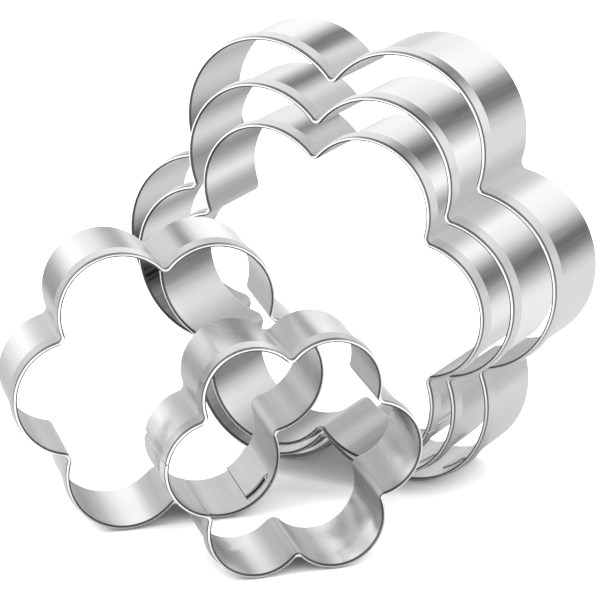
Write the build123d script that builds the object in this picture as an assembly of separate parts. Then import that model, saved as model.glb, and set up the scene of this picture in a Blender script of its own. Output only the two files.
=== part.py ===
from build123d import *
from math import atan2, cos, degrees, radians, sin, sqrt
import os

# A set of five nesting flower cookie cutters. Each cutter is one strip of stainless
# steel, bent on edge into six petals. Its front edge is folded back outside as a hem,
# to be pressed on, and its back edge is left plain, to cut. Inside one petal the strip's
# ends lap: one end is a tongue with its hem cut away, spot welded inside the other end.
# The three largest stand nested, and the two smallest stand by themselves before them.
# X runs to the right and Y from the hems of the nest to its cutting edges. Z is up, and
# the floor is at zero. The origin is under the middle of the whole set.

# Strip
strip_width = 25.0
strip_thickness = 0.45
hem_depth = 4.2
hem_gap = 0.1
fold_bevel = 0.3

# Outline of the cutters: the size is across opposite petals, outside the wall
cutter_names = ("largest", "large", "medium", "small", "smallest")
largest_size = 123.0
size_step = 15.0
petal_count = 6
petal_radius_share = 0.373
notch_radius = 2.3

# Lapped seam, with the places of its butted hems about the centre of its petal
lap_length = 7.0
lap_gap = 0.3
joggle_length = 2.0
butt_gap = 0.25
slit_gap = 0.4
nugget_radius = 1.3
nugget_count = 2
seam_petals = {"largest": 5, "large": 5, "medium": 5, "small": 5, "smallest": 3}
seam_angles = {"largest": -50.0, "large": -50.0, "medium": -25.0, "small": -33.0, "smallest": 167.0}

# Places of the standing cutters
nest_clearance = 0.35
large_ahead = 8.6
large_side = 0.1
medium_ahead = 2.2
medium_side = 0.2
small_side = -19.0
small_ahead = 51.0
small_turn = 43.7
smallest_side = 24.2
smallest_ahead = 65.0
smallest_turn = 44.5

# Overrun of every cut
overrun = 1.0

# Worked out from the strip
hem_thickness = 2 * strip_thickness + hem_gap
slit_depth = hem_depth + slit_gap
half_turn = 180.0
full_turn = 2 * half_turn
petal_pitch = full_turn / petal_count
half_pitch = petal_pitch / 2


def size_of(name):
    """Size of a cutter across opposite petals, outside its wall."""
    return largest_size - size_step * cutter_names.index(name)


class Outline:
    """The wall's inner face as petal arcs joined by small notch arcs."""

    def __init__(self, size):
        self.reach = size / 2 - strip_thickness
        self.petal_radius = petal_radius_share * self.reach
        self.petal_centre = self.reach - self.petal_radius
        across = self.petal_centre * sin(radians(half_pitch))
        along = self.petal_centre * cos(radians(half_pitch))
        self.notch_centre = along + sqrt((self.petal_radius + notch_radius) ** 2 - across**2)
        rise = self.notch_centre * sin(radians(half_pitch))
        run = self.notch_centre * cos(radians(half_pitch)) - self.petal_centre
        self.half_arc = degrees(atan2(rise, run))

    def centre(self, petal):
        """Centre of a petal, counted from the right, anticlockwise from the front."""
        angle = radians(petal * petal_pitch)
        return Vector(self.petal_centre * cos(angle), self.petal_centre * sin(angle), 0)

    def notch(self, petal):
        """Centre of the notch that follows a petal."""
        angle = radians(petal * petal_pitch + half_pitch)
        return Vector(self.notch_centre * cos(angle), self.notch_centre * sin(angle), 0)

    def on_petal(self, petal, offset, angle):
        """A point at an angle about a petal's centre, out from the inner face."""
        radius = self.petal_radius + offset
        turn = radians(angle)
        return self.centre(petal) + Vector(radius * cos(turn), radius * sin(turn), 0)

    def face(self, offset):
        """The flower's face, its edge moved out from the wall's inner face."""
        edges = []
        for petal in range(petal_count):
            lean = petal * petal_pitch
            start = self.on_petal(petal, offset, lean - self.half_arc)
            middle = self.on_petal(petal, offset, lean)
            end = self.on_petal(petal, offset, lean + self.half_arc)
            after = self.on_petal(petal + 1, offset, lean + petal_pitch - self.half_arc)
            notch_middle = self.notch(petal)
            inward = notch_middle.normalized() * (notch_radius - offset)
            edges.append(ThreePointArc(start, middle, end))
            edges.append(ThreePointArc(end, notch_middle - inward, after))
        return make_face(Wire(edges))

    def room(self, point):
        """How far a point inside the flower lies from the wall's inner face."""
        turn = degrees(atan2(point.Y, point.X))
        petal = round(turn / petal_pitch)
        from_centre = point - self.centre(petal)
        swing = degrees(atan2(from_centre.Y, from_centre.X)) - petal * petal_pitch
        swing = (swing + half_turn) % full_turn - half_turn
        side = 0 if swing > 0 else -1
        notch = self.notch(petal + side)
        to_notch = (point - notch).length - notch_radius
        if abs(swing) < self.half_arc:
            return self.petal_radius - from_centre.length
        return to_notch


def ring(outline, inner, outer, depth):
    """A band between two offsets, from the front plane back to a depth."""
    face = outline.face(outer) - outline.face(inner)
    return extrude(face, amount=-depth)


def sector(outline, petal, inner, outer, first, last, front, back):
    """A curved block about a petal's centre, between two angles and two depths."""
    middle = (first + last) / 2
    ends = [outline.on_petal(petal, inner, first), outline.on_petal(petal, outer, first)]
    ends += [outline.on_petal(petal, outer, last), outline.on_petal(petal, inner, last)]
    edges = [
        Line(ends[0], ends[1]),
        ThreePointArc(ends[1], outline.on_petal(petal, outer, middle), ends[2]),
        Line(ends[2], ends[3]),
        ThreePointArc(ends[3], outline.on_petal(petal, inner, middle), ends[0]),
    ]
    block = extrude(make_face(Wire(edges)), amount=-(back - front))
    return block.moved(Location((0, 0, -front)))


def arc_angle(outline, length):
    """The angle that a length takes along a petal's inner face."""
    return degrees(length / outline.petal_radius)


def hemmed_wall(outline):
    """The closed band: the wall, the fold round its front edge and the hem outside."""
    wall = ring(outline, 0, strip_thickness, strip_width)
    hem = ring(outline, hem_thickness - strip_thickness, hem_thickness, hem_depth)
    fold = ring(outline, 0, hem_thickness, strip_thickness)
    band = wall + hem + fold
    front = [edge for edge in band.edges() if abs(edge.center().Z) < hem_gap]
    return chamfer(front, fold_bevel)


def tongue(outline, petal, butt):
    """The strip's inner end: a joggle inwards and the tongue that laps the other end."""
    start = butt + arc_angle(outline, joggle_length)
    end = butt - arc_angle(outline, lap_length)
    inner = -(lap_gap + strip_thickness)
    wall = [outline.on_petal(petal, offset, start) for offset in (0, strip_thickness)]
    bend = [outline.on_petal(petal, offset, butt) for offset in (inner, -lap_gap)]
    tip = [outline.on_petal(petal, offset, end) for offset in (inner, -lap_gap)]
    middle = [outline.on_petal(petal, offset, (butt + end) / 2) for offset in (inner, -lap_gap)]
    edges = [
        Line(wall[0], wall[1]),
        Line(wall[1], bend[1]),
        ThreePointArc(bend[1], middle[1], tip[1]),
        Line(tip[1], tip[0]),
        ThreePointArc(tip[0], middle[0], bend[0]),
        Line(bend[0], wall[0]),
    ]
    blade = extrude(make_face(Wire(edges)), amount=-(strip_width - slit_depth))
    return blade.moved(Location((0, 0, -slit_depth)))


def weld_nuggets(outline, petal, butt):
    """Spot welds along the lap, each from half way into one layer to half way into the other."""
    angle = butt - arc_angle(outline, lap_length) / 2
    foot = outline.on_petal(petal, -(lap_gap + strip_thickness / 2), angle)
    outward = (foot - outline.centre(petal)).normalized()
    tongue_width = strip_width - slit_depth
    nuggets = []
    for place in range(nugget_count):
        depth = slit_depth + tongue_width * (place + 1) / (nugget_count + 1)
        origin = Vector(foot.X, foot.Y, -depth)
        plane = Plane(origin=origin, x_dir=(0, 0, 1), z_dir=outward)
        nuggets.append(extrude(plane * Circle(nugget_radius), amount=lap_gap + strip_thickness))
    return nuggets


def cutter(name):
    """A cutter about its own middle: front plane at zero, its depth along -Z."""
    outline = Outline(size_of(name))
    petal = seam_petals[name]
    butt = seam_angles[name]
    band = hemmed_wall(outline)
    butt_end = butt + arc_angle(outline, butt_gap)
    joggle_end = butt + arc_angle(outline, joggle_length)
    band -= sector(
        outline, petal, -overrun, hem_thickness + overrun, butt, butt_end, -overrun, strip_width + overrun
    )
    band -= sector(
        outline, petal, -overrun, hem_thickness + overrun, butt, joggle_end, slit_depth, strip_width + overrun
    )
    band += tongue(outline, petal, butt)
    nuggets = weld_nuggets(outline, petal, butt)
    for nugget in nuggets:
        band -= nugget
    return band, nuggets


def seat_drop(inner, outer, side):
    """How far a nested cutter sinks below the middle of the one round it before its hem seats."""
    samples = 24
    rim = []
    for petal in range(petal_count):
        lean = petal * petal_pitch
        for step in range(-samples, samples + 1):
            rim.append(inner.on_petal(petal, hem_thickness, lean + step * inner.half_arc / samples))
    low, high = 0.0, outer.reach - inner.reach
    for _ in range(samples):
        drop = (low + high) / 2
        shift = Vector(side, -drop, 0)
        room = min(outer.room(point + shift) for point in rim)
        if room > nest_clearance:
            low = drop
        else:
            high = drop
    return low


def standing_height(outline):
    """Height of a cutter's middle when it stands on its two lower petals."""
    return outline.petal_centre * cos(radians(half_pitch)) + outline.petal_radius + hem_thickness


outlines = {name: Outline(size_of(name)) for name in cutter_names}
largest_height = standing_height(outlines["largest"])
large_height = largest_height - seat_drop(outlines["large"], outlines["largest"], large_side)
medium_height = large_height - seat_drop(outlines["medium"], outlines["large"], medium_side)
small_height = standing_height(outlines["small"])
smallest_height = standing_height(outlines["smallest"])

# Middle of each front plane from the largest cutter's, and the turn about the vertical
places = {
    "largest": (0, 0, largest_height, 0),
    "large": (large_side, -large_ahead, large_height, 0),
    "medium": (large_side + medium_side, -(large_ahead + medium_ahead), medium_height, 0),
    "small": (small_side, -small_ahead, small_height, small_turn),
    "smallest": (smallest_side, -smallest_ahead, smallest_height, smallest_turn),
}


def stand(solid, place):
    """Stand a cutter's solid on the floor with its depth axis level, then turn it."""
    across, along, height, turn = place
    heading = radians(turn)
    x_dir = Vector(cos(heading), sin(heading), 0)
    front = Vector(sin(heading), -cos(heading), 0)
    plane = Plane(origin=(across, along, height), x_dir=x_dir, z_dir=front)
    return solid.moved(plane.location)


standing = {}
for name in cutter_names:
    band, nuggets = cutter(name)
    standing[f"{name}_cutter_band"] = [stand(band, places[name])]
    standing[f"{name}_cutter_spot_welds"] = [stand(nugget, places[name]) for nugget in nuggets]

everything = Compound([solid for solids in standing.values() for solid in solids])
box = everything.bounding_box()
to_origin = Location((-(box.min.X + box.max.X) / 2, -(box.min.Y + box.max.Y) / 2, -box.min.Z))
print("shift to origin", to_origin.position)
for name, place in places.items():
    print(name, "size", size_of(name), "place", [round(value, 3) for value in place])

os.makedirs("parts", exist_ok=True)
for node, solids in standing.items():
    moved = [solid.moved(to_origin) for solid in solids]
    shape = moved[0] if len(moved) == 1 else Compound(moved)
    export_step(shape, f"parts/{node}.step")
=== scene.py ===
"""A nest of flower cookie cutters in polished stainless strip, dressed for the studio.

Each band is made again here from its strip's own section, swept petal by petal, so that
its bright faces stay smooth. The sizes are those of the solids, in metres.
"""

from math import atan2, cos, radians, sin, sqrt, tau

import bmesh
import bpy
from mathutils import Matrix, Vector


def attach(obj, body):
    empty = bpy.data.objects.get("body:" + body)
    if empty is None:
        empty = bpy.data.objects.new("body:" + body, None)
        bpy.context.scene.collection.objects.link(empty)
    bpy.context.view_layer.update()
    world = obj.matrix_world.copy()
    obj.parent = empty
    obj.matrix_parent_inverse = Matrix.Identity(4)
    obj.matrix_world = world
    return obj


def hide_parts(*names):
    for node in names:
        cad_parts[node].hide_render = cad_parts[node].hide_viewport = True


MM = 0.001

# Strip
STRIP_WIDTH = 25.0 * MM
STRIP_THICKNESS = 0.45 * MM
HEM_DEPTH = 4.2 * MM
HEM_GAP = 0.1 * MM
HEM_THICKNESS = 2 * STRIP_THICKNESS + HEM_GAP
FOLD_RADIUS = 0.4 * MM
HEM_TUCK = 0.15 * MM
HEM_FLARE = 0.3 * MM

# Outline
PETALS = 6
PITCH = tau / PETALS
PETAL_RADIUS_SHARE = 0.373
NOTCH_RADIUS = 2.3 * MM

# Lapped seam
LAP_LENGTH = 7.0 * MM
LAP_GAP = 0.3 * MM
JOGGLE_LENGTH = 2.0 * MM
BUTT_GAP = 0.25 * MM
SLIT_DEPTH = HEM_DEPTH + 0.4 * MM

# Each cutter's size across its petals, its front's middle, its turn about the vertical,
# and its seam: the petal that holds it and the angle about that petal's centre
CUTTERS = {
    "largest": (123 * MM, (1.209, 31.127, 56.922), 0.0, 5, -50.0),
    "large": (108 * MM, (1.309, 22.527, 53.986), 0.0, 5, -50.0),
    "medium": (93 * MM, (1.509, 20.327, 51.010), 0.0, 5, -25.0),
    "small": (78 * MM, (-17.791, -19.873, 36.312), 43.7, 5, -33.0),
    "smallest": (63 * MM, (25.409, -33.873, 29.442), 44.5, 3, 167.0),
}

# Those that lie in each other
NESTED = ("largest", "large", "medium")

# How far round each notch the strip is rougher, and darkened with painted shade
NOTCH_REACH = 6.0 * MM

# How much each has been handled
SMUDGED = {"largest": 0.0, "large": 0.0, "medium": 0.0, "small": 0.2, "smallest": 0.5}
DENTED = {"largest": 0.06, "large": 0.06, "medium": 0.06, "small": 0.3, "smallest": 1.0}

# Bands of painted reflection on the strips, painted darker or brighter: the face, the petals, the angle about
# the petal's centre in degrees, half the band's length in degrees, and how much brighter it is
INSIDE, OUTSIDE, HEM = 0, 1, 2
FACE_LAYERS = ("outside", "notched", "painted_light")
PAINTED_BANDS = {
    "largest": (
        (INSIDE, (2, 3), 126, 16, -0.5), (INSIDE, (2, 3), 157, 12, 0.3), (INSIDE, (2, 3), 190, 14, -0.75),
        (INSIDE, (0,), 300, 20, -0.75), (OUTSIDE, (0,), 24, 11, -0.85), (OUTSIDE, (1,), 30, 11, -0.85),
        (OUTSIDE, (2,), 63, 9, -0.85), (OUTSIDE, (5,), 22, 12, -0.8), (OUTSIDE, (0,), 85, 10, -0.4),
        (OUTSIDE, (1,), 96, 8, -0.35), (INSIDE, (3, 4), 228, 34, -0.7), (OUTSIDE, (0, 1), 58, 12, 0.2),
        (OUTSIDE, (2,), 88, 14, 0.12), (OUTSIDE, (2,), 46, 7, 0.4), (OUTSIDE, (1,), 118, 14, -0.3),
        (HEM, (1,), 54, 13, -0.7), (HEM, (0,), 30, 12, -0.3),
    ),
    "large": (
        (INSIDE, (2,), 130, 20, -0.8), (INSIDE, (2, 3), 164, 12, 0.6), (INSIDE, (2, 3), 192, 14, -0.7),
        (INSIDE, (3,), 143, 12, -0.6), (INSIDE, (0,), 304, 18, -0.85), (OUTSIDE, (0,), 25, 12, -0.85),
        (OUTSIDE, (1,), 44, 12, -0.85), (OUTSIDE, (1,), 348, 12, -0.45), (OUTSIDE, (2,), 74, 9, -0.85),
        (OUTSIDE, (5,), 14, 16, -0.6), (INSIDE, (3, 4), 228, 34, -0.7), (OUTSIDE, (0,), 68, 18, 0.3),
        (OUTSIDE, (0,), 345, 22, 0.3), (OUTSIDE, (1,), 84, 20, 0.12), (OUTSIDE, (1,), 16, 9, 0.3),
        (HEM, (1,), 54, 12, -0.7), (HEM, (0,), 30, 12, -0.3),
    ),
    "medium": (
        (INSIDE, (2,), 133, 24, -0.85), (INSIDE, (2,), 194, 22, 1.5), (INSIDE, (3, 4), 178, 18, -0.68),
        (INSIDE, (3, 4), 214, 14, 0.55), (INSIDE, (4, 5), 268, 20, -0.6), (INSIDE, (5,), 218, 16, 1.6),
        (OUTSIDE, (0,), 28, 12, -0.85), (OUTSIDE, (1,), 50, 12, -0.85), (OUTSIDE, (1,), 0, 10, -0.6),
        (OUTSIDE, (2,), 62, 9, -0.85), (OUTSIDE, (5,), 8, 12, -0.7), (OUTSIDE, (0,), 70, 18, 0.45),
        (OUTSIDE, (0,), 355, 10, 0.3), (OUTSIDE, (1,), 88, 18, 0.12), (OUTSIDE, (1,), 20, 8, 0.25),
        (OUTSIDE, (2,), 46, 7, 0.5), (HEM, (1,), 54, 12, -0.7), (HEM, (0,), 30, 12, -0.3),
    ),
    "small": (
        (INSIDE, (0,), 312, 10, -0.4), (INSIDE, (0, 1), 350, 16, -0.62), (INSIDE, (3,), 222, 20, -0.5),
        (INSIDE, (4,), 231, 20, -0.7), (INSIDE, (4,), 282, 18, 0.85), (INSIDE, (4,), 322, 14, -0.5),
        (INSIDE, (5,), 248, 10, -0.5), (INSIDE, (5,), 355, 14, -0.35), (OUTSIDE, (1,), 115, 11, -0.85),
        (OUTSIDE, (1,), 80, 16, 0.15), (OUTSIDE, (2,), 79, 13, -0.72), (OUTSIDE, (2,), 168, 24, -0.85),
        (OUTSIDE, (2, 3), 126, 12, 0.15), (OUTSIDE, (3,), 178, 18, -0.5), (HEM, (1,), 70, 34, -0.35),
        (HEM, (2, 3), 170, 40, -0.4),
    ),
    "smallest": (
        (INSIDE, (0,), 322, 14, 0.5), (INSIDE, (1,), 338, 10, 0.4), (INSIDE, (1,), 15, 14, -0.55),
        (INSIDE, (3,), 222, 14, -0.45), (INSIDE, (4,), 295, 30, 0.75), (INSIDE, (5,), 245, 14, -0.5),
        (INSIDE, (5,), 288, 14, 0.9), (INSIDE, (5,), 350, 26, 1.0), (INSIDE, (0,), 14, 16, 1.0),
        (OUTSIDE, (1,), 106, 9, -0.7), (OUTSIDE, (2,), 85, 14, -0.6), (OUTSIDE, (2,), 172, 26, -0.72),
        (OUTSIDE, (3,), 128, 18, 0.3), (HEM, (1,), 75, 40, -0.3), (HEM, (2,), 160, 26, -0.5),
    ),
}

# Smoothness of the sweeps
PETAL_STEP = radians(2.0)
NOTCH_STEP = radians(10.0)
FOLD_STEPS = 6
JOGGLE_STEPS = 10
LAP_STEPS = 18
SHARP_FROM = radians(35)

# Steel
OUTSIDE_TONE = (0.76, 0.76, 0.755, 1)
# The inside is painted darker than the outside: painted shade of the ring's inside
INSIDE_SHADED_TONE = (0.50, 0.50, 0.497, 1)
# Painted shade in the notches, and how much of it shows
NOTCH_SHADE_TONE = (0.34, 0.34, 0.34, 1)
NOTCH_SHADE_SHOWN = 0.55
BRIGHTEST = (0.95, 0.95, 0.95)
# The tongue's cut end painted dark: painted shade of the gap behind it
CUT_END_SHADE = 0.05
ROUGH = (0.21, 0.25)
ROUGH_WHERE_DULL = 0.34

# Lines of the rolling, per metre, with their tone and heights as shares of the bump's depth
LINE_SCALE = 700.0
LINE_TONE = (0.9, 0.9, 0.9, 1)
LINE_SHOWN = 0.08
LINE_HEIGHT = 0.006
HAIRLINE_SCALE = 5000.0
HAIRLINE_HEIGHT = 0.001
BUMP_DEPTH = 0.5 * MM

# Dents and the patches where they lie, and smudges, per metre
DENT_SCALE = 105.0
DENT_PATCH_SCALE = 40.0
SMUDGE_SCALE = 60.0
SMUDGE_TONE = (0.50, 0.50, 0.51, 1)
SMUDGE_SHOWN = 0.35

# The painted highlight on the crown of the bend, the worn cutting edge, and the painted dark line of shade
# behind the
# crown: where it begins, where it has begun, and where it ends inside and outside
CROWN_HIGHLIGHT = 0.22 * MM
ROLLED_IN = (0.85, 1.00)
WORN_AND_HIGHLIT_TONE = (0.95, 0.95, 0.95, 1)
WORN_BACK = 0.05 * MM
WORN_BACK_BREAKUP = 0.4 * MM
BEND_SHADE_LINE = (0.26 * MM, 0.40 * MM, 0.80 * MM, 1.20 * MM)
BEND_SHADE_TONE = (0.06, 0.06, 0.06, 1)
BEND_SHADE_SHOWN = 0.9

# Weld metal: its dark and light grain, per metre
WELD_TONES = ((0.20, 0.21, 0.25, 1), (0.46, 0.44, 0.42, 1))
WELD_ROUGH = (0.35, 0.6)
WELD_GRAIN_SCALE = 2600.0
WELD_GRAIN_DEPTH = 0.05 * MM

# Studio. The ambient is what lights the set, and the cove and the dim ceiling above it are
# what the steel mirrors
AMBIENT = 2.6
COVE = 1.0
CEILING = 0.15
CEILING_FROM = (0.70, 0.86)

# Bright patches in the cove: turn, height, half width and half height in degrees, softness and level
PATCHES = (
    (-58.0, 11.0, 13.0, 10.0, 0.6, 1.15),
    (-15.0, 12.0, 16.0, 12.0, 0.6, 1.15),
    (-170.0, 15.0, 50.0, 25.0, 0.4, 1.2),
)

# The floor's tone, and what the steel mirrors of it before and behind the nest: darker than the floor and
# darkest behind the nest, a painted shade
FLOOR_HALF_SIZE = 4.0
FLOOR_TONE = 0.91
FLOOR_BEFORE = (-0.20, 0.54)
FLOOR_BEHIND = (0.05, 0.32)

# An oval card behind the nest, which only the steel mirrors
CARD_HEIGHT = 55.0 * MM
CARD_HALF = (62.0 * MM, 68.0 * MM)
CARD_BEHIND = 130.0 * MM
CARD_FADES_FROM = 0.35
CARD_LEVEL = 0.85

# The soft light at the left: turn and height in degrees, distance and side in metres, and watts
SIDE_BOX = (-80.0, 38.0)
SIDE_BOX_DISTANCE = 1.5
SIDE_BOX_SIDE = 0.8
SIDE_BOX_POWER = 10.0
SET_MIDDLE = Vector((0, 0, 0.06))

# Camera: beside the nest and above it, with a long lens
CAMERA_PLACE = (0.4127, -0.7003, 0.3296)
CAMERA_TURN = 30.0
CAMERA_DOWN = 0.3252
CAMERA_ROLL = -0.0293
SENSOR_MM = 36.0
LENS_MM = 207.3


class Flower:
    """The inner face of a cutter's wall: six petal arcs joined by small notch arcs."""

    def __init__(self, size):
        reach = size / 2 - STRIP_THICKNESS
        self.radius = PETAL_RADIUS_SHARE * reach
        self.centre_distance = reach - self.radius
        across = self.centre_distance * sin(PITCH / 2)
        along = self.centre_distance * cos(PITCH / 2)
        self.notch_distance = along + sqrt((self.radius + NOTCH_RADIUS) ** 2 - across**2)
        rise = self.notch_distance * sin(PITCH / 2)
        run = self.notch_distance * cos(PITCH / 2) - self.centre_distance
        self.half_arc = atan2(rise, run)

    def petal_centre(self, petal):
        """Middle of a petal's arc in the cutter's own plane."""
        turn = petal * PITCH
        return Vector((cos(turn), sin(turn), 0)) * self.centre_distance

    def notch_centre(self, petal):
        """Middle of the notch arc that follows a petal."""
        turn = (petal + 0.5) * PITCH
        return Vector((cos(turn), sin(turn), 0)) * self.notch_distance


def strip_section():
    """The hemmed strip's section as (out, back) pairs, in two faces that share an edge.

    The hem is tucked in at its fold and stands off a little at its free edge.
    """
    thick, total, fold = STRIP_THICKNESS, HEM_THICKNESS - HEM_TUCK, FOLD_RADIUS
    front = [(0, SLIT_DEPTH)]
    for step in range(FOLD_STEPS + 1):
        turn = radians(90) * step / FOLD_STEPS
        front.append((fold - fold * cos(turn), fold - fold * sin(turn)))
    for step in range(FOLD_STEPS + 1):
        turn = radians(90) * step / FOLD_STEPS
        front.append((total - fold + fold * sin(turn), fold - fold * cos(turn)))
    flared = HEM_THICKNESS + HEM_FLARE
    front += [(flared, HEM_DEPTH), (flared - thick, HEM_DEPTH)]
    front += [(thick, 2 * thick), (thick, SLIT_DEPTH)]
    back = [(0, STRIP_WIDTH), (0, SLIT_DEPTH), (thick, SLIT_DEPTH), (thick, STRIP_WIDTH)]
    return front, back


def section_faces(bm, flower, petal, angle):
    """Sets up the strip's section at an angle about a petal's centre."""
    centre = flower.petal_centre(petal)
    out = Vector((cos(angle), sin(angle), 0))
    made = {}

    def corner(pair):
        if pair not in made:
            place = centre + out * (flower.radius + pair[0]) + Vector((0, 0, -pair[1]))
            made[pair] = bm.verts.new(place)
        return made[pair]

    return [bm.faces.new([corner(pair) for pair in part]) for part in strip_section()]


def faces_in(geometry):
    """The faces of an operator's result."""
    return [item for item in geometry if isinstance(item, bmesh.types.BMFace)]


def sweep(bm, faces, centre, angle, step, keep=False):
    """Bends faces round a centre in the cutter's plane and returns the last ones."""
    steps = max(2, round(abs(angle) / step))
    swept = bmesh.ops.spin(
        bm, geom=faces, cent=centre, axis=(0, 0, 1), angle=angle, steps=steps, use_merge=False
    )
    if not keep:
        bmesh.ops.delete(bm, geom=[face for face in faces if face.is_valid], context="FACES_ONLY")
    return faces_in(swept["geom_last"])


def lap_tongue(bm, face, flower, petal, start):
    """Draws the strip's inner end out of the section: a joggle inwards, then the tongue.

    Returns the corners of its cut end.
    """
    centre = flower.petal_centre(petal)
    joggle = JOGGLE_LENGTH / flower.radius
    lap = LAP_LENGTH / flower.radius
    inward = LAP_GAP + STRIP_THICKNESS
    eased = [(k / JOGGLE_STEPS) ** 2 * (3 - 2 * k / JOGGLE_STEPS) for k in range(JOGGLE_STEPS + 1)]
    moves = [(joggle / JOGGLE_STEPS, (after - before) * inward) for before, after in zip(eased, eased[1:])]
    moves += [(lap / LAP_STEPS, 0.0)] * LAP_STEPS
    angle = start
    for turn, sink in moves:
        grown = bmesh.ops.extrude_face_region(bm, geom=[face], use_keep_orig=False)
        if face.is_valid:
            bmesh.ops.delete(bm, geom=[face], context="FACES_ONLY")
        face = faces_in(grown["geom"])[0]
        angle -= turn
        out = Vector((cos(angle), sin(angle), 0))
        turned = Matrix.Translation(centre) @ Matrix.Rotation(-turn, 4, "Z") @ Matrix.Translation(-centre)
        bmesh.ops.transform(bm, matrix=Matrix.Translation(-out * sink) @ turned, verts=list(face.verts))
    return list(face.verts)


def bent_strip(name):
    """One cutter: the hemmed strip bent round six petals, butted at its hem and lapped behind it."""
    size, _, _, petal, butt = CUTTERS[name]
    flower = Flower(size)
    butt = radians(butt)
    start = butt + JOGGLE_LENGTH / flower.radius
    lean = petal * PITCH
    bm = bmesh.new()
    # The layers come first, because a new one would lose the corners that are kept below
    for layer in FACE_LAYERS:
        bm.verts.layers.float.new(layer)
    front, back = section_faces(bm, flower, petal, start)

    def swing(angle):
        return (angle - lean + tau / 2) % tau - tau / 2

    # Forwards from the joggle, all the way round to the butt
    first_arc = flower.half_arc - swing(start)
    end = sweep(bm, [front, back], flower.petal_centre(petal), first_arc, PETAL_STEP, keep=True)
    notch_arc = -(2 * flower.half_arc - PITCH)
    for step in range(PETALS):
        end = sweep(bm, end, flower.notch_centre(petal + step), notch_arc, NOTCH_STEP)
        last = step == PETALS - 1
        arc = swing(butt) + flower.half_arc if last else 2 * flower.half_arc
        end = sweep(bm, end, flower.petal_centre(petal + step + 1), arc, PETAL_STEP)
    # Back from the joggle: the hemmed front to the butt, and the plain rest into the lap
    gap = BUTT_GAP / flower.radius
    sweep(bm, [front], flower.petal_centre(petal), butt + gap - start, PETAL_STEP)
    cut_end = lap_tongue(bm, back, flower, petal, start)
    loose = [edge for edge in bm.edges if not edge.link_faces]
    bmesh.ops.delete(bm, geom=loose, context="EDGES")
    bmesh.ops.recalc_face_normals(bm, faces=bm.faces)
    mark_faces(bm, flower, PAINTED_BANDS[name], cut_end)
    return bm


def mark_faces(bm, flower, painted_bands, cut_end):
    """Writes on the strip where it faces out of the flower, how near a notch is, and its painted light: bands
    of painted reflection, and painted shade on the tongue's cut end.
    """
    outside, notched, painted_light = [bm.verts.layers.float[layer] for layer in FACE_LAYERS]
    petals = [flower.petal_centre(petal) for petal in range(PETALS)]
    notches = [flower.notch_centre(petal) for petal in range(PETALS)]
    for vert in bm.verts:
        flat = Vector((vert.co.x, vert.co.y, 0))
        from_notch = min((flat - notch).length for notch in notches) - NOTCH_RADIUS
        nearest = min(range(PETALS), key=lambda petal: (flat - petals[petal]).length)
        from_petal = (flat - petals[nearest]).length - flower.radius
        in_notch = from_notch < NOTCH_REACH / 8
        out = max(from_petal, -from_notch) if in_notch else from_petal
        vert[outside] = min(max(out / STRIP_THICKNESS, 0.0), 1.0)
        near = min(max(1 - from_notch / NOTCH_REACH, 0.0), 1.0)
        vert[notched] = near * near * (3 - 2 * near)
        facing = atan2(flat.y - petals[nearest].y, flat.x - petals[nearest].x)
        if out > 1.2 * STRIP_THICKNESS:
            side = HEM
        else:
            side = OUTSIDE if vert[outside] > 0.5 else INSIDE
        # The painted light: bands painted darker or brighter that stand in for reflections
        vert[painted_light] = 1.0
        for face, which, angle, half, change in painted_bands:
            away = abs((facing - radians(angle) + tau / 2) % tau - tau / 2) / radians(2 * half)
            if face == side and nearest in which and away < 1:
                vert[painted_light] += change * (0.5 + 0.5 * cos(away * tau / 2)) * (1 - vert[notched])
    # Painted shade on the tongue's cut end
    for vert in cut_end:
        vert[painted_light] = CUT_END_SHADE


def stand(bm, name):
    """Stands a cutter where its solid stands: its plane upright, its depth level, then turned."""
    place = Vector(CUTTERS[name][1]) * MM
    turn = radians(CUTTERS[name][2])
    across = Vector((cos(turn), sin(turn), 0))
    front = Vector((sin(turn), -cos(turn), 0))
    upright = Matrix((across, (0, 0, 1), front)).transposed().to_4x4()
    bmesh.ops.transform(bm, matrix=Matrix.Translation(place) @ upright, verts=bm.verts)


def piece(name, bm, material, body):
    """A finished mesh in the scene, on its body."""
    mesh = bpy.data.meshes.new(name)
    bm.to_mesh(mesh)
    bm.free()
    mesh.materials.append(material)
    mesh.shade_smooth()
    mesh.set_sharp_from_angle(angle=SHARP_FROM)
    obj = bpy.data.objects.new(name, mesh)
    bpy.context.collection.objects.link(obj)
    if body:
        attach(obj, body)
    return obj


# Node groups that the finishes share


def new_group(name, inputs, outputs):
    """An empty node group with named inputs and outputs."""
    tree = bpy.data.node_groups.new(name, "ShaderNodeTree")
    for label, kind, value in inputs:
        socket = tree.interface.new_socket(label, in_out="INPUT", socket_type=kind)
        if value is not None:
            socket.default_value = value
    for label, kind in outputs:
        tree.interface.new_socket(label, in_out="OUTPUT", socket_type=kind)
    return tree, tree.nodes.new("NodeGroupInput"), tree.nodes.new("NodeGroupOutput")


def node(tree, kind, links=None, **settings):
    """A node with its settings, and its inputs given as values or as other nodes' outputs."""
    made = tree.nodes.new(kind)
    for label, value in settings.items():
        setattr(made, label, value)
    for label, value in (links or {}).items():
        if isinstance(value, bpy.types.NodeSocket):
            tree.links.new(value, made.inputs[label])
        else:
            made.inputs[label].default_value = value
    return made


def math_of(tree, first, second, operation="ADD"):
    """A Math node's result on two values: their sum, unless another operation is named."""
    made = node(tree, "ShaderNodeMath", {0: first, 1: second}, operation=operation)
    return made.outputs[0]


def remap(tree, value, low, high, new_low, new_high):
    """A value moved from one range to another, and kept inside it."""
    labels = {"Value": value, "From Min": low, "From Max": high, "To Min": new_low, "To Max": new_high}
    return node(tree, "ShaderNodeMapRange", labels, clamp=True, interpolation_type="SMOOTHSTEP").outputs[0]


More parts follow.
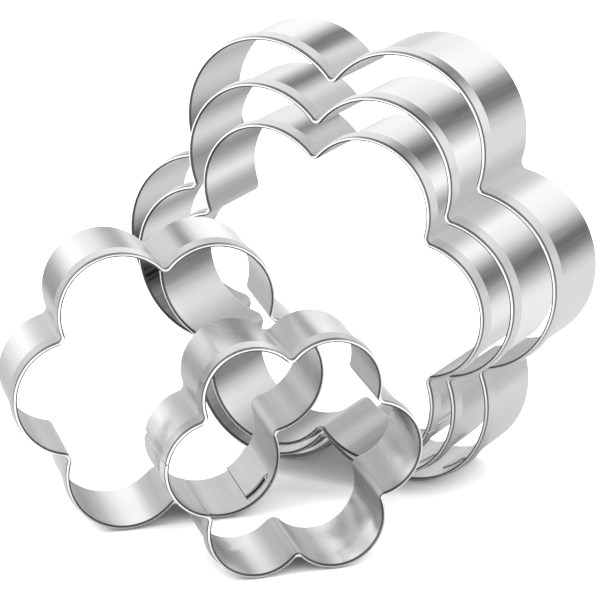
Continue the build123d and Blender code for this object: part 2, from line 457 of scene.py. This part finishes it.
def drawn_lines_group():
    """Lines that the sheet keeps from its rolling, straight across the strip, and shallow dents."""
    tree, start, end = new_group(
        "drawn lines",
        [("Strip Place", "NodeSocketVector", None)],
        [("Dents", "NodeSocketFloat"), ("Lines", "NodeSocketFloat"), ("Hairlines", "NodeSocketFloat")],
    )
    place = start.outputs["Strip Place"]
    knocks = node(tree, "ShaderNodeTexNoise", {"Vector": place, "Scale": DENT_SCALE, "Detail": 0.0})
    where = node(tree, "ShaderNodeTexNoise", {"Vector": place, "Scale": DENT_PATCH_SCALE, "Detail": 0.0})
    patch = remap(tree, where.outputs["Fac"], 0.48, 0.62, 0.15, 1.0)
    dents = math_of(tree, knocks.outputs["Fac"], patch, "MULTIPLY")
    scaled = node(tree, "ShaderNodeVectorMath", {0: place, 1: (1.0, 0.05, 1.0)}, operation="MULTIPLY")
    fine = node(
        tree, "ShaderNodeTexNoise",
        {"Vector": scaled.outputs[0], "Scale": LINE_SCALE, "Detail": 2.0, "Roughness": 0.55},
    )
    hair = node(tree, "ShaderNodeVectorMath", {0: place, 1: (1.0, 0.015, 1.0)}, operation="MULTIPLY")
    finest = node(
        tree, "ShaderNodeTexNoise",
        {"Vector": hair.outputs[0], "Scale": HAIRLINE_SCALE, "Detail": 2.0, "Roughness": 0.6},
    )
    tree.links.new(dents, end.inputs["Dents"])
    tree.links.new(fine.outputs["Fac"], end.inputs["Lines"])
    tree.links.new(finest.outputs["Fac"], end.inputs["Hairlines"])
    return tree


def handling_group():
    """Clouded smudges left by handling: a soft mask over the whole face."""
    tree, start, end = new_group(
        "handling marks",
        [("Strip Place", "NodeSocketVector", None), ("Amount", "NodeSocketFloat", 1.0)],
        [("Smudge", "NodeSocketFloat")],
    )
    place = start.outputs["Strip Place"]
    cloud = node(tree, "ShaderNodeTexNoise", {"Vector": place, "Scale": SMUDGE_SCALE, "Detail": 0.0})
    smudge = remap(tree, cloud.outputs["Fac"], 0.40, 0.72, 0.0, 1.0)
    tree.links.new(math_of(tree, smudge, start.outputs["Amount"], "MULTIPLY"), end.inputs["Smudge"])
    return tree


def edge_wear_and_light_group():
    """Wear on the strip's cutting edge, a painted highlight on the crown of its bend, and painted dark lines
    of shade beside the bend.

    All follow the depth behind the hem's front.
    """
    tree, start, end = new_group(
        "edge light and wear",
        [
            ("Depth", "NodeSocketFloat", 0.0),
            ("Outside", "NodeSocketFloat", 1.0),
            ("Width", "NodeSocketFloat", STRIP_WIDTH),
            ("Breakup", "NodeSocketFloat", 0.5),
        ],
        [("Wear And Highlight", "NodeSocketFloat"), ("Bend Shade", "NodeSocketFloat")],
    )
    depth = start.outputs["Depth"]
    rolled = remap(tree, start.outputs["Outside"], ROLLED_IN[0], ROLLED_IN[1], 0.0, 1.0)
    from_back = math_of(tree, start.outputs["Width"], depth, "SUBTRACT")
    # A painted highlight on the crown of the bend
    crown = remap(tree, depth, CROWN_HIGHLIGHT * 0.7, CROWN_HIGHLIGHT * 1.3, 1.0, 0.0)
    crown = math_of(tree, crown, rolled, "MULTIPLY")
    reach = math_of(tree, start.outputs["Breakup"], WORN_BACK_BREAKUP, "MULTIPLY")
    reach = math_of(tree, reach, WORN_BACK, "ADD")
    back = remap(tree, math_of(tree, from_back, reach, "DIVIDE"), 0.0, 1.0, 1.0, 0.0)
    tree.links.new(math_of(tree, crown, back, "MAXIMUM"), end.inputs["Wear And Highlight"])
    # Painted dark lines of shade beside the bend
    begins, begun_by, inner_end, outer_end = BEND_SHADE_LINE
    begun = remap(tree, depth, begins, begun_by, 0.0, 1.0)
    begun = math_of(tree, begun, math_of(tree, 1.0, rolled, "SUBTRACT"), "MAXIMUM")
    inner = remap(tree, depth, begins, inner_end, 1.0, 0.0)
    outer = remap(tree, depth, inner_end, outer_end, 1.0, 0.0)
    ended = mix_value(tree, start.outputs["Outside"], inner, outer)
    tree.links.new(math_of(tree, begun, ended, "MULTIPLY"), end.inputs["Bend Shade"])
    return tree


def grouped(tree, group, links):
    """A shared group placed in a material."""
    made = tree.nodes.new("ShaderNodeGroup")
    made.node_tree = group
    for label, value in links.items():
        if isinstance(value, bpy.types.NodeSocket):
            tree.links.new(value, made.inputs[label])
        else:
            made.inputs[label].default_value = value
    return made


def principled(name):
    """A material with its Principled shader, and the shader."""
    material = bpy.data.materials.new(name)
    material.use_nodes = True
    return material, material.node_tree, material.node_tree.nodes["Principled BSDF"]


def mix_value(tree, fac, first, second):
    """Blends two values."""
    made = node(tree, "ShaderNodeMix", {0: fac, 2: first, 3: second}, data_type="FLOAT")
    return made.outputs[0]


def mix_colour(tree, fac, first, second):
    """Blends two colours."""
    made = node(tree, "ShaderNodeMix", {0: fac, 6: first, 7: second}, data_type="RGBA")
    return made.outputs[2]


def polished_strip(name, place, turn, groups, smudged, dented):
    """Polished stainless strip, handled, with painted light: painted shade inside, in its notches (which are
    also rougher) and beside its bend, bands of painted reflection, and a painted highlight on its crown.
    """
    lines_group, marks_group, wear_and_light_group = groups
    material, tree, shader = principled(name)
    coords = node(tree, "ShaderNodeTexCoord")
    here = node(tree, "ShaderNodeMapping", {"Vector": coords.outputs["Object"]}, vector_type="TEXTURE")
    here.inputs["Location"].default_value = Vector(place) * MM
    here.inputs["Rotation"].default_value = (0, 0, radians(turn))
    parts = node(tree, "ShaderNodeSeparateXYZ", {0: here.outputs[0]})
    outside, notched, painted_light = [
        node(tree, "ShaderNodeAttribute", attribute_name=layer).outputs["Fac"] for layer in FACE_LAYERS
    ]
    lines = grouped(tree, lines_group, {"Strip Place": here.outputs[0]})
    marks = grouped(tree, marks_group, {"Strip Place": here.outputs[0], "Amount": smudged})
    wear_and_light = grouped(
        tree, wear_and_light_group, {"Depth": parts.outputs["Y"], "Outside": outside, "Breakup": lines.outputs["Lines"]}
    )

    # The inside painted darker: painted shade
    tone = mix_colour(tree, outside, INSIDE_SHADED_TONE, OUTSIDE_TONE)
    # Scaled by the painted light: bands of painted reflection, and painted shade on the tongue's cut end
    tone = node(tree, "ShaderNodeVectorMath", {0: tone, "Scale": painted_light}, operation="SCALE").outputs[0]
    tone = node(tree, "ShaderNodeVectorMath", {0: tone, 1: BRIGHTEST}, operation="MINIMUM").outputs[0]
    # Painted shade in the notches
    tone = mix_colour(tree, math_of(tree, notched, NOTCH_SHADE_SHOWN, "MULTIPLY"), tone, NOTCH_SHADE_TONE)
    tone = mix_colour(tree, remap(tree, lines.outputs["Lines"], 0.3, 0.7, 0.0, LINE_SHOWN), tone, LINE_TONE)
    smudge = math_of(tree, marks.outputs["Smudge"], SMUDGE_SHOWN, "MULTIPLY")
    tone = mix_colour(tree, smudge, tone, SMUDGE_TONE)
    # Painted shade: dark lines beside the bend
    bend_shade = math_of(tree, wear_and_light.outputs["Bend Shade"], BEND_SHADE_SHOWN, "MULTIPLY")
    tone = mix_colour(tree, bend_shade, tone, BEND_SHADE_TONE)
    # Wear on the cutting edge, and a painted highlight on the crown
    tone = mix_colour(tree, wear_and_light.outputs["Wear And Highlight"], tone, WORN_AND_HIGHLIT_TONE)
    tree.links.new(tone, shader.inputs["Base Color"])
    shader.inputs["Metallic"].default_value = 1.0

    rough = remap(tree, lines.outputs["Lines"], 0.3, 0.7, *ROUGH)
    rough = mix_value(tree, notched, rough, ROUGH_WHERE_DULL)
    rough = mix_value(tree, marks.outputs["Smudge"], rough, ROUGH_WHERE_DULL)
    tree.links.new(rough, shader.inputs["Roughness"])

    height = math_of(tree, lines.outputs["Dents"], dented, "MULTIPLY")
    for label, share in (("Lines", LINE_HEIGHT), ("Hairlines", HAIRLINE_HEIGHT)):
        height = math_of(tree, height, math_of(tree, lines.outputs[label], share, "MULTIPLY"))
    bump = node(tree, "ShaderNodeBump", {"Height": height, "Strength": 1.0, "Distance": BUMP_DEPTH})
    tree.links.new(bump.outputs[0], shader.inputs["Normal"])
    return material


def weld_metal():
    """Spot weld nuggets: dull, faintly blued steel with a cast grain."""
    material, tree, shader = principled("weld metal")
    place = node(tree, "ShaderNodeTexCoord").outputs["Object"]
    grain = node(tree, "ShaderNodeTexNoise", {"Vector": place, "Scale": WELD_GRAIN_SCALE, "Detail": 3.0})
    grain = grain.outputs["Fac"]
    tone = mix_colour(tree, grain, *WELD_TONES)
    tree.links.new(tone, shader.inputs["Base Color"])
    shader.inputs["Metallic"].default_value = 1.0
    tree.links.new(remap(tree, grain, 0.3, 0.7, *WELD_ROUGH), shader.inputs["Roughness"])
    bump = node(tree, "ShaderNodeBump", {"Height": grain, "Strength": 0.5, "Distance": WELD_GRAIN_DEPTH})
    tree.links.new(bump.outputs[0], shader.inputs["Normal"])
    return material


def studio_floor():
    """A pale, even floor, wide enough to fill every view, just under the hems that stand off."""
    bm = bmesh.new()
    bmesh.ops.create_grid(bm, x_segments=2, y_segments=2, size=FLOOR_HALF_SIZE)
    bmesh.ops.translate(bm, vec=(0, 0, -HEM_FLARE), verts=bm.verts)
    material, tree, shader = principled("studio floor")
    coords = node(tree, "ShaderNodeTexCoord")
    parts = node(tree, "ShaderNodeSeparateXYZ", {0: coords.outputs["Object"]})
    path = node(tree, "ShaderNodeLightPath")
    near_line, near_tone = FLOOR_BEFORE
    far_line, far_tone = FLOOR_BEHIND
    # Painted shade on the floor as the steel mirrors it, darker towards the back
    mirrored = remap(tree, parts.outputs["Y"], near_line, far_line, near_tone, far_tone)
    tone = mix_value(tree, path.outputs["Is Glossy Ray"], FLOOR_TONE, mirrored)
    grey = node(tree, "ShaderNodeCombineColor", {0: tone, 1: tone, 2: tone}).outputs[0]
    tree.links.new(grey, shader.inputs["Base Color"])
    shader.inputs["Roughness"].default_value = 0.7
    piece("studio_floor", bm, material, None)


def way_to(turn, height):
    """The way from the set to a place of the studio, given as a turn and a height in degrees."""
    turn, height = radians(turn), radians(height)
    return Vector((sin(turn) * cos(height), cos(turn) * cos(height), sin(height)))


def side_box():
    """A large soft light that the steel doesn't mirror."""
    light = bpy.data.lights.new("side_box", "AREA")
    light.shape = "RECTANGLE"
    light.size = light.size_y = SIDE_BOX_SIDE
    light.energy = SIDE_BOX_POWER
    lamp = bpy.data.objects.new("side_box", light)
    lamp.visible_glossy = False
    way = way_to(*SIDE_BOX)
    lamp.location = SET_MIDDLE + way * SIDE_BOX_DISTANCE
    lamp.rotation_euler = (-way).to_track_quat("-Z", "Y").to_euler()
    bpy.context.collection.objects.link(lamp)


def soft_patch(tree, way, turn, height, half_width, half_height, soft):
    """A soft-edged oval in the sky: one in its middle and none outside it."""
    middle = way_to(turn, height)
    level = Vector((cos(radians(turn)), -sin(radians(turn)), 0))
    across = level / sin(radians(half_width))
    up = middle.cross(level) / sin(radians(half_height))
    sides = [
        node(tree, "ShaderNodeVectorMath", {0: way, 1: axis}, operation="DOT_PRODUCT").outputs["Value"]
        for axis in (across, up, middle)
    ]
    flat = node(tree, "ShaderNodeCombineXYZ", {0: sides[0], 1: sides[1]})
    reach = node(tree, "ShaderNodeVectorMath", {0: flat.outputs[0]}, operation="LENGTH").outputs["Value"]
    oval = remap(tree, reach, 1 - soft, 1 + soft, 1.0, 0.0)
    return math_of(tree, oval, remap(tree, sides[2], 0.0, 0.1, 0.0, 1.0), "MULTIPLY")


def pale_card():
    """An upright oval card behind the nest that only the steel mirrors, and that fades to its edge."""
    bm = bmesh.new()
    bmesh.ops.create_circle(bm, cap_ends=True, cap_tris=True, segments=32, radius=1.0)
    edge = bm.verts.layers.float.new("edge")
    for vert in bm.verts:
        vert[edge] = min(vert.co.length, 1.0)
    bmesh.ops.scale(bm, vec=(CARD_HALF[0], CARD_HALF[1], 1), verts=bm.verts)
    bmesh.ops.translate(bm, vec=(0, CARD_HEIGHT, 0), verts=bm.verts)
    bmesh.ops.rotate(bm, cent=(0, 0, 0), matrix=Matrix.Rotation(radians(90), 3, "X"), verts=bm.verts)
    bmesh.ops.translate(bm, vec=(0, CARD_BEHIND, 0), verts=bm.verts)
    material, tree, shader = principled("pale_card")
    from_middle = node(tree, "ShaderNodeAttribute", attribute_name="edge").outputs["Fac"]
    tree.links.new(remap(tree, from_middle, CARD_FADES_FROM, 1.0, 1.0, 0.0), shader.inputs["Alpha"])
    shader.inputs["Base Color"].default_value = (0, 0, 0, 1)
    shader.inputs["Specular IOR Level"].default_value = 0.0
    shader.inputs["Emission Color"].default_value = (1, 1, 1, 1)
    shader.inputs["Emission Strength"].default_value = CARD_LEVEL
    card = piece("pale_card", bm, material, None)
    card.visible_camera = card.visible_diffuse = card.visible_shadow = card.visible_transmission = False


def studio_world():
    """A white cove that lights the set, and what the steel mirrors of it: bright patches, a dim ceiling."""
    world = bpy.data.worlds.new("studio")
    world.use_nodes = True
    tree = world.node_tree
    way = node(tree, "ShaderNodeTexCoord").outputs["Generated"]
    parts = node(tree, "ShaderNodeSeparateXYZ", {0: way})
    mirrored = remap(tree, parts.outputs["Z"], CEILING_FROM[0], CEILING_FROM[1], COVE, CEILING)
    for *place_and_size, level in PATCHES:
        mirrored = mix_value(tree, soft_patch(tree, way, *place_and_size), mirrored, level)
    path = node(tree, "ShaderNodeLightPath")
    background = tree.nodes["Background"]
    background.inputs["Color"].default_value = (1, 1, 1, 1)
    strength = mix_value(tree, path.outputs["Is Glossy Ray"], AMBIENT, mirrored)
    tree.links.new(strength, background.inputs["Strength"])
    bpy.context.scene.world = world


def studio_camera():
    """The photographed view."""
    data = bpy.data.cameras.new("studio_camera")
    data.lens = LENS_MM
    data.sensor_width = SENSOR_MM
    data.clip_start = 0.01
    camera = bpy.data.objects.new("studio_camera", data)
    camera.location = CAMERA_PLACE
    aim = Matrix.Rotation(radians(CAMERA_TURN), 4, "Z") @ Matrix.Rotation(radians(90) - CAMERA_DOWN, 4, "X")
    camera.rotation_euler = (aim @ Matrix.Rotation(CAMERA_ROLL, 4, "Z")).to_euler()
    bpy.context.collection.objects.link(camera)
    bpy.context.scene.camera = camera


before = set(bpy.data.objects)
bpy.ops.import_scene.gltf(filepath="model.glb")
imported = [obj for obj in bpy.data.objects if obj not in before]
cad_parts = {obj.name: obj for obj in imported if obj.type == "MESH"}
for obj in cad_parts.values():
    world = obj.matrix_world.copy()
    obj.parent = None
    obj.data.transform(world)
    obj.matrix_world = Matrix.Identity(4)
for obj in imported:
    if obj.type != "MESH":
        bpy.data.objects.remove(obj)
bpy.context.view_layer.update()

groups = (drawn_lines_group(), handling_group(), edge_wear_and_light_group())
nuggets = weld_metal()
for name, (_, place, turn, _, _) in CUTTERS.items():
    steel = polished_strip(f"polished strip {name}", place, turn, groups, SMUDGED[name], DENTED[name])
    bm = bent_strip(name)
    stand(bm, name)
    band = piece(f"{name}_band_polished", bm, steel, f"{name}_cutter")
    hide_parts(f"{name}_cutter_band")
    band.visible_glossy = name not in NESTED
    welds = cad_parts[f"{name}_cutter_spot_welds"]
    for slot in welds.material_slots:
        slot.material = nuggets

studio_floor()
pale_card()
side_box()
studio_world()
studio_camera()
bpy.context.scene.view_settings.view_transform = "Standard"
